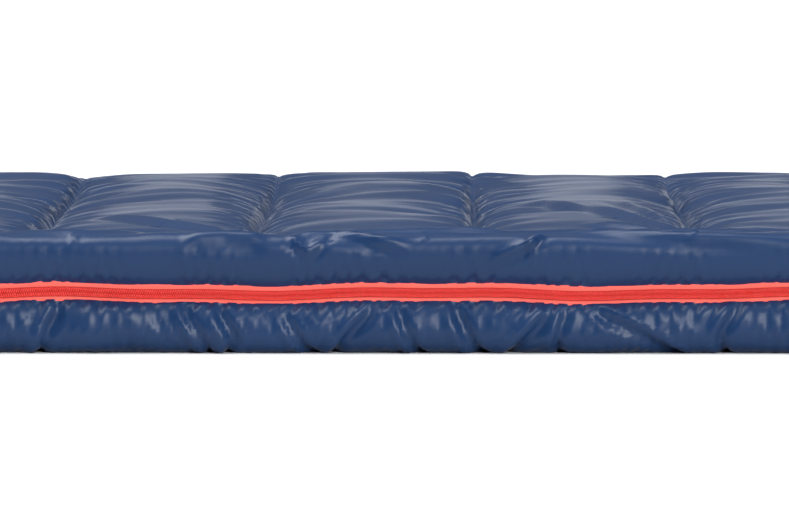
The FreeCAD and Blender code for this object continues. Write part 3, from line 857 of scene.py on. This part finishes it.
def brushed_polyester(name, colour, shade):
    """Lining cloth, brushed to a soft matt face with a short nap."""
    material, tree = start_material(name)
    nap = pattern(tree, "TexNoise", "cloth", (2.2, 1.4), {"Detail": 5.0, "Roughness": 0.7})
    drag = pattern(tree, "TexNoise", "cloth", (34, 16), {"Detail": 3.0})
    finish(
        tree, between(tree, nap, colour, shade), [(drag, 0.5, 0.8), (nap, 0.5, 0.25)],
        {"Roughness": 0.88, "Specular IOR Level": 0.2, "Sheen Weight": 0.4, "Sheen Roughness": 0.5})
    return material


def woven_tape(name, colour, groove, under):
    """Zip tape, woven with ribs across it, which catch the light one by one. The ribs darken its colour in
    bands, painted shade of their grooves, with a random cloudy tone. Near the coil its colour is a painted
    shade, the coil's shadow."""
    material, tree = start_material(name)
    ribs = pattern(
        tree, "TexWave", "cloth", (1.3, 40), {"Scale": 0.5, "Distortion": 0.4, "Detail": 2.0},
        wave_type="BANDS", bands_direction="X")
    soil = pattern(tree, "TexNoise", "cloth", (40, 5), {"Detail": 3.0})
    cloudy = add_node(tree, "Math", {1: 0.4, 2: -0.1}, {0: soil}, operation="MULTIPLY_ADD")
    # painted shade of the rib grooves: the ribs darken the colour in bands towards the groove colour, with
    # the cloudy random tone added
    total = add_node(
        tree, "Math", {1: 0.45}, {0: ribs, 2: cloudy.outputs[0]}, operation="MULTIPLY_ADD")
    woven = between(tree, total.outputs[0], colour, groove)
    # painted shade: near the coil the tape's colour turns to the dark under colour, the coil's shadow on it
    rows = add_node(tree, "SeparateXYZ", links={"Vector": placed(tree, "cloth", (1, 1))})
    clear_of_coil_shade = add_node(
        tree, "MapRange", {"From Min": 3.6, "From Max": 4.9}, {"Value": rows.outputs["Y"]})
    colours = add_node(
        tree, "Mix", {"A": linear(under)}, {"Factor": clear_of_coil_shade.outputs[0], "B": woven},
        data_type="RGBA")
    finish(
        tree, colours.outputs["Result"], [(ribs, 0.6, 0.12)],
        {"Roughness": 0.6, "Specular IOR Level": 0.35, "Sheen Weight": 0.25, "Sheen Roughness": 0.4})
    return material


def moulded_polymer(name, colour, shade, roughness):
    """Drawn or moulded polyester and acetal: smooth, with a faint cloudiness from the melt."""
    material, tree = start_material(name)
    cloud = pattern(tree, "TexNoise", "object", (3, 3, 3), {"Detail": 3.0})
    finish(tree, between(tree, cloud, colour, shade), [], {"Roughness": roughness, "Specular IOR Level": 0.5})
    return material


def die_cast_zinc(name, colour, rubbed):
    """Zinc cast in a die, tumbled and dipped in dark lacquer: fine grain, lighter where it has rubbed."""
    material, tree = start_material(name)
    grain = pattern(tree, "TexNoise", "object", (0.5, 0.5, 0.5), {"Detail": 4.0, "Roughness": 0.7})
    wear = pattern(tree, "TexNoise", "object", (3, 3, 3), {"Detail": 5.0})
    where_worn = add_node(tree, "MapRange", {"From Min": 0.3, "From Max": 0.8}, {"Value": wear})
    colours = between(tree, where_worn.outputs[0], colour, rubbed)
    finish(tree, colours, [(grain, 0.3, 0.05)], {"Metallic": 1.0, "Roughness": 0.34})
    return material


def woven_webbing(name, colour, shade):
    """Flat polyester webbing, woven in ridges that run along it, with its picks across them. Between the
    ridges its colour darkens to a painted shade.
    """
    material, tree = start_material(name)
    wave = {"Scale": 0.5, "Distortion": 0.3, "Detail": 1.0}
    ridges, picks = (
        pattern(tree, "TexWave", "cloth", lengths, wave, wave_type="BANDS", bands_direction=axis)
        for lengths, axis in (((30, 2.4), "Y"), ((1.1, 30), "X")))
    finish(
        tree, between(tree, ridges, shade, colour), [(ridges, 0.7, 0.25), (picks, 0.5, 0.1)],
        {"Roughness": 0.62, "Specular IOR Level": 0.35, "Sheen Weight": 0.15})
    return material


def fine_cloth(name, colour, shade, thread, roughness, depth):
    """A flat cloth cut from a larger one, with its weave or pile drawn on its own axes."""
    material, tree = start_material(name)
    weave = pattern(tree, "TexNoise", "object", [thread] * 3, {"Detail": 3.0, "Roughness": 0.6})
    crease = pattern(tree, "TexNoise", "object", (9, 9, 14), {"Detail": 3.0})
    finish(
        tree, between(tree, weave, colour, shade), [(crease, 0.5, 0.6), (weave, 0.6, depth)],
        {"Roughness": roughness, "Specular IOR Level": 0.35})
    return material


taffeta = calendered_taffeta("calendered_polyester_taffeta", "#0b284c", "#0f325b")
lining_cloth = brushed_polyester("brushed_polyester_lining", "#8f949e", "#a3a8b1")
# b4221b is painted shade under the coil; #f04438 is painted shade of the rib grooves, mixed with a random
# cloudy tone
tape_weave = woven_tape("woven_polyester_zip_tape", "#ff7264", "#f04438", "#b4221b")
monofilament = moulded_polymer("drawn_polyester_monofilament", "#ff3832", "#ff5a50", 0.3)
acetal = moulded_polymer("moulded_acetal", "#c81f1c", "#d8302a", 0.38)
coral_thread = moulded_polymer("spun_polyester_thread_coral", "#f4483e", "#e83a33", 0.55)
navy_thread = moulded_polymer("spun_polyester_thread_navy", "#1d3b6e", "#16305c", 0.55)
grey_thread = moulded_polymer("spun_polyester_thread_grey", "#7d828c", "#8b909a", 0.6)
zinc = die_cast_zinc("die_cast_zinc_gunmetal", "#494b50", "#76787d")
# 0e1f40 is painted shade in the grooves between the webbing's ridges
navy_webbing = woven_webbing("woven_polyester_webbing", "#1a3463", "#0e1f40")
tab_taffeta = fine_cloth("polyester_taffeta_tab", "#16366a", "#1b3f78", 0.8, 0.4, 0.05)
hook_tape = fine_cloth("nylon_hook_tape", "#0c1428", "#1a2540", 0.9, 0.55, 0.5)
loop_tape = fine_cloth("brushed_nylon_loop_tape", "#101a30", "#1e2a48", 1.4, 0.9, 0.6)
satin_tape = fine_cloth("woven_satin_label_tape", "#eceae6", "#d9d7d2", 0.7, 0.35, 0.04)


# ---------------------------------------------------------------- the quilt's pieces

def lining_shape(cloth):
    """The lining puffs up a little between its seams, and stays clear of the other layer's lining."""
    distance = seam_distance(cloth.x)
    sewn = smooth((cloth.inset - BORDER + 6) / 12)
    valley = np.exp(-(distance / 9.0) ** 1.0)
    fullness = smooth(distance / 50)
    flat = smooth((np.abs(cloth.s) - HALF_FOLD) / 30)
    raised = flat * (1.6 * fullness - 7.0 * valley * sewn)
    raised += flat * np.exp(-distance / 34) * sewn * 1.1 * wave_noise((cloth.x, cloth.s), (140, 21), 41)
    raised += flat * 0.5 * wave_noise((cloth.x, cloth.s), (90, 60), 42)
    raised = np.minimum(raised, 2.3) * smooth((EDGE_R * cloth.sew_angle - cloth.rolled) / 14)
    return raised


def make_lining():
    past = EDGE_R * (math.pi - SEW_ANGLE)
    stops = [-END_S - past, -END_S + 60, -HALF_FOLD, HALF_FOLD, END_S - 60, END_S + past]
    lines_s = spaced_lines(stops, [5.0, 9.0, 9.0, 9.0, 5.0])
    inner = Cloth(x_lines(6.0, past), lines_s, outside=False)
    return inner, follow_zip(inner, lining_shape(inner))


def make_zip():
    for word, up, body in (("lower", -1, "base"), ("upper", 1, "cover")):
        tape = zip_tape(f"{word}_zip_tape_woven", up)
        dress(tape, tape_weave, body)
        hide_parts(f"zip_tape_{word}")
        coil = zip_coil(f"{word}_zip_coil_wound", up)
        dress(coil, monofilament, body)
        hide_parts(f"zip_coil_{word}")
        thread = zip_thread(f"{word}_zip_coil_thread", up, coral_thread, 2.3, 0.42, COIL_THICK - 0.25)
        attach(thread, body)


TUBE_WIDE = 45.0                          # of a draft tube, without its flap


def tube_edges(node, along_x):
    """A draft tube's box: its front and back, its start and end, and its bottom and top."""
    low, high = box_mm(node)
    if along_x:
        return low.y, high.y, low.x, high.x, low.z, high.z
    return low.x, high.x, low.y, high.y, low.z, high.z


def draft_tube(name, node, along_x):
    """Padded tube behind the zip, gathered along the seam that holds its flap."""
    _, back, start, end, bottom, top = tube_edges(node, along_x)
    t = spaced_lines([start, end], [6.0])
    taper = np.sqrt(smooth((t - start) / 14) * smooth((end - t) / 14)) * 0.9 + 0.1
    full = np.minimum(taper * (1 + 0.12 * wave_noise((t,), (60,), 51)), 1)[:, None]
    angle = math.pi * 2 * np.arange(20) / 20
    half = TUBE_WIDE / 2
    across = back - half + half * np.cos(angle)[None] * full
    puff = np.sign(np.sin(angle)) * np.abs(np.sin(angle)) ** 0.7
    height = bottom + (top - bottom) / 2 * (1 + puff[None] * full) * 0.96 + 0.1
    height += 0.15 * wave_noise((t[:, None], across), (17, 30), 52) * (puff[None] > 0)
    height = np.clip(height, bottom + 0.1, top - 0.05)
    run = np.broadcast_to(t[:, None], across.shape)
    rings = np.stack([run, across, height] if along_x else [across, run, height], -1)
    tube = sweep(name, rings, t, half * angle)
    dress(tube, lining_cloth, "base")
    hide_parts(node)


def tube_flap(name, node, along_x):
    """The flap that sews a draft tube in behind the zip. Its back edge lies under the tube."""
    front, back, start, end, bottom, _ = tube_edges(node, along_x)
    tube_front, under = back - TUBE_WIDE, 4.0
    t = spaced_lines([start, end], [8.0])
    across = np.array([front, front + 5, (front + tube_front) / 2, tube_front, tube_front + under])
    section = np.concatenate([across, across[::-1]])
    rise = np.repeat([0.6, 0.2], len(across))            # its top and its underside
    run = np.broadcast_to(t[:, None], (len(t), len(section)))
    wide = np.broadcast_to(section, run.shape)
    high = bottom + rise + 0.125 * (1 + wave_noise((run, wide), (22, 80), 53))
    rings = np.stack([run, wide, high] if along_x else [wide, run, high], -1)
    flap = sweep(name, rings, t, np.arange(len(section)) * 6.0)
    dress(flap, lining_cloth, "base")


def tab_stitches():
    """A box of stitches where the tab is sewn to the upper layer, and a row along each edge of it."""
    low, high = box_mm("closing_tab")
    front = low.y + 0.02
    left, right = low.x + 2.5, high.x - 2.5
    top, bottom = high.z - 4, 22.0
    box = top - 9                             # lower side of the box
    lines = [
        [(left, top), (left, bottom)], [(right, top), (right, bottom)], [(left, top), (right, top)],
        [(left, box), (right, box)], [(left, top), (right, box)], [(left, box), (right, top)]]
    rows = []
    share = np.linspace(0, 1, 8)
    for (xa, za), (xb, zb) in lines:
        line = np.stack([xa + (xb - xa) * share, np.full(len(share), front), za + (zb - za) * share], -1)
        rows.append(stitch_row(line, np.tile([0.0, -1.0, 0.0], (len(share), 1)), 1.8, 0.7, 0.4))
    thread = join_rows("closing_tab_thread", rows, grey_thread)
    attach(thread, "tab")


def hang_loop(name, side):
    """A loop of webbing at the foot end, doubled back on itself, its tails sewn in between the layers."""
    low, high = box_mm("hang_loops")
    wide, thick = 20.0, 1.2
    middle_y = side * ((high.y - low.y) / 2 - wide / 2)
    radius = (high.z - low.z) / 2 - thick / 2
    bend = low.x + thick / 2 + radius
    tail = spaced_lines([high.x, bend], [4.0])
    turn = np.linspace(0, math.pi, 17)[1:-1]
    x = np.concatenate([tail, bend - radius * np.sin(turn), tail[::-1]])
    z = np.concatenate([np.full(len(tail), radius), radius * np.cos(turn), np.full(len(tail), -radius)])
    facing = np.concatenate([np.zeros(len(tail)), turn, np.full(len(tail), math.pi)])
    out = np.stack([-np.sin(facing), 0 * facing, np.cos(facing)], -1)
    line = np.stack([x, np.full(len(x), middle_y), (low.z + high.z) / 2 + z], -1)
    half = wide / 2
    across = [-half, -half + 0.6, -half / 2, 0, half / 2, half - 0.6, half]
    section = list(zip(across, (0.2, 0.5, 0.42, 0.5, 0.42, 0.5, 0.2)))     # and half its thickness there
    section += [(a, -b) for a, b in section[::-1]]
    rings = np.stack([line + np.array([0, a, 0]) + out * b * thick for a, b in section], 1)
    loop = sweep(name, rings, reach_along(line), np.linspace(0, 2 * wide, len(section)))
    dress(loop, navy_webbing, "base")
    return loop


def paint_cad_pieces():
    """The small hard parts, the tab and the label keep their own shapes."""
    painted = {
        zinc: ["zip_top_stop_lower", "zip_top_stop_upper"],
        acetal: ["zip_insertion_pin", "zip_retainer_box"],
        tab_taffeta: ["closing_tab", "closing_tab_anchor"],
        hook_tape: ["closing_tab_hook_patch"],
        loop_tape: ["closing_tab_loop_patch"],
        satin_tape: ["care_label"],
    }
    for place in ("head", "foot"):
        painted[zinc] += [f"{place}_slider_{part}" for part in ("body", "outer_bail", "inner_bail")]
        painted[zinc] += [f"{place}_pull_outer", f"{place}_pull_inner"]
    for material, nodes in painted.items():
        for node in nodes:
            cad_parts[node].data.materials.clear()
            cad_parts[node].data.materials.append(material)


shell, shell_shape = make_outer_cloth()
cut_layers(shell, shell_shape, "shell", taffeta, ("shell", "filling"))
quilting_stitches(shell, shell_shape, "shell", navy_thread)
lining, lining_points = make_lining()
cut_layers(lining, lining_points, "lining", lining_cloth, ("lining",))
quilting_stitches(lining, lining_points, "lining", grey_thread)
make_zip()
tab_stitches()
for place in ("side", "foot"):
    draft_tube(f"{place}_draft_tube_padded", f"draft_tube_{place}", place == "side")
    tube_flap(f"{place}_draft_tube_flap", f"draft_tube_{place}", place == "side")
loops = [hang_loop(f"hang_loop_webbing_{number}", side) for number, side in ((1, -1), (2, 1))]
for loop in loops:
    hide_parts("hang_loops")
paint_cad_pieces()


# ---------------------------------------------------------------- floor, light and camera

def make_stage():
    bpy.ops.object.select_all(action="DESELECT")
    bpy.ops.mesh.primitive_plane_add(size=80, location=(0, 0, 0))
    floor = bpy.context.object
    floor.name = "studio_floor"
    material, tree = start_material("matt_white_paint")
    paint = {"Base Color": linear("#e6e6e6"), "Roughness": 0.9, "Specular IOR Level": 0.1}
    shader = add_node(tree, "BsdfPrincipled", paint)
    add_node(tree, "OutputMaterial", links={"Surface": shader.outputs[0]})
    floor.data.materials.append(material)


def add_sun(name, strength, width, towards):
    """A very wide, far softbox. towards is where it stands, seen from the bag."""
    sun = bpy.data.lights.new(name, "SUN")
    sun.energy = strength
    sun.angle = math.radians(width)
    obj = bpy.data.objects.new(name, sun)
    obj.rotation_euler = Vector(towards).to_track_quat("Z", "Y").to_euler()
    bpy.context.scene.collection.objects.link(obj)


def make_light():
    """A dim studio with a bright backdrop, which stands low behind the bag, and softboxes above."""
    world = bpy.data.worlds.new("studio")
    world.use_nodes = True
    tree = world.node_tree
    tree.nodes.clear()
    where = add_node(tree, "TexCoord")
    axes = add_node(tree, "SeparateXYZ", links={"Vector": where.outputs["Generated"]})
    ranges = (("Y", -0.1, 0.6, 0.0, 1.0), ("Z", 0.04, 0.25, 1.7, 0.0), ("Z", 0.1, 1.0, 0.2, 0.6))
    behind, low_down, overhead = (
        add_node(
            tree, "MapRange", dict(zip(("From Min", "From Max", "To Min", "To Max"), ends)),
            {"Value": axes.outputs[axis]}, interpolation_type="SMOOTHSTEP").outputs[0]
        for axis, *ends in ranges)
    backdrop = add_node(tree, "Math", links={0: behind, 1: low_down, 2: overhead}, operation="MULTIPLY_ADD")
    background = add_node(
        tree, "Background", {"Color": linear("#f4f6fc")}, {"Strength": backdrop.outputs[0]})
    add_node(tree, "OutputWorld", links={"Surface": background.outputs[0]})
    bpy.context.scene.world = world
    add_sun("overhead", 3.1, 40, (-0.35, -0.02, 1))
    add_sun("front_fill", 2.3, 30, (0.45, -1, 0.5))
    bpy.context.scene.view_settings.view_transform = "Standard"


def make_camera():
    camera = bpy.data.cameras.new("camera")
    camera.lens = 306
    camera.sensor_width = 36
    camera.clip_end = 200
    obj = bpy.data.objects.new("camera", camera)
    obj.location = Vector((57, SIDE_Y - 4360, 341)) * MM
    pitch, yaw = math.radians(-3.67), math.radians(0.48)
    obj.rotation_euler = (math.pi / 2 + pitch, 0, yaw)
    bpy.context.scene.collection.objects.link(obj)
    bpy.context.scene.camera = obj


make_stage()
make_light()
make_camera()
